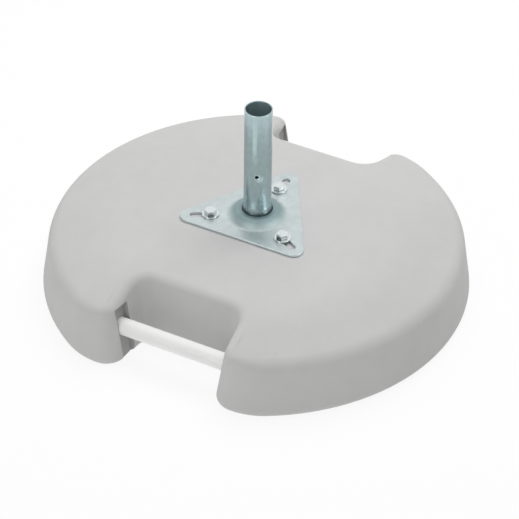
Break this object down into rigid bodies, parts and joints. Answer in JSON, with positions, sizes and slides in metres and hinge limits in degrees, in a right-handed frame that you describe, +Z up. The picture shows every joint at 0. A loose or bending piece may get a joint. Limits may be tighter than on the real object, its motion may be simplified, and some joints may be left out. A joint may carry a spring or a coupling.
{
  "type": "parasol base",
  "caption": "Round cast concrete parasol base with hand bars in two opposite notches and a galvanised stand tube bolted on a three-cornered flange plate.",
  "frame": {"origin": "on the floor under the middle of the base", "axes": "+Z up along the stand tube, X along the two hand bars, -Y towards the front notch"},
  "size_m": [0.7498, 0.6798, 0.3633],
  "materials": {
    "concrete": "smooth light grey cast concrete, matt",
    "galvanised_steel": "galvanised, soft sheen",
    "zinc_plated_steel": "bright zinc plate",
    "plain_steel": "plain",
    "white_plastic": "white, satin"
  },
  "bodies": {
    "base": {"concrete_base": "concrete", "flange_plate": "galvanised_steel", "stand_tube": "galvanised_steel", "tube_weld": "plain_steel", "hex_bolt_1": "zinc_plated_steel", "flat_washer_1": "zinc_plated_steel", "anchor_socket_1": "plain_steel", "hex_bolt_2": "zinc_plated_steel", "flat_washer_2": "zinc_plated_steel", "anchor_socket_2": "plain_steel", "hex_bolt_3": "zinc_plated_steel", "flat_washer_3": "zinc_plated_steel", "anchor_socket_3": "plain_steel", "front_rod": "plain_steel", "rear_rod": "plain_steel"},
    "front_grip": {"front_grip": "white_plastic"},
    "rear_grip": {"rear_grip": "white_plastic"}
  },
  "joints": [
    {"name": "front_grip_turn", "type": "hinge", "parent": "base", "child": "front_grip", "pos_m": [0, -0.293, 0.0625], "axis": [1, 0, 0], "continuous": true},
    {"name": "rear_grip_turn", "type": "hinge", "parent": "base", "child": "rear_grip", "pos_m": [0, 0.293, 0.0625], "axis": [1, 0, 0], "continuous": true}
  ]
}
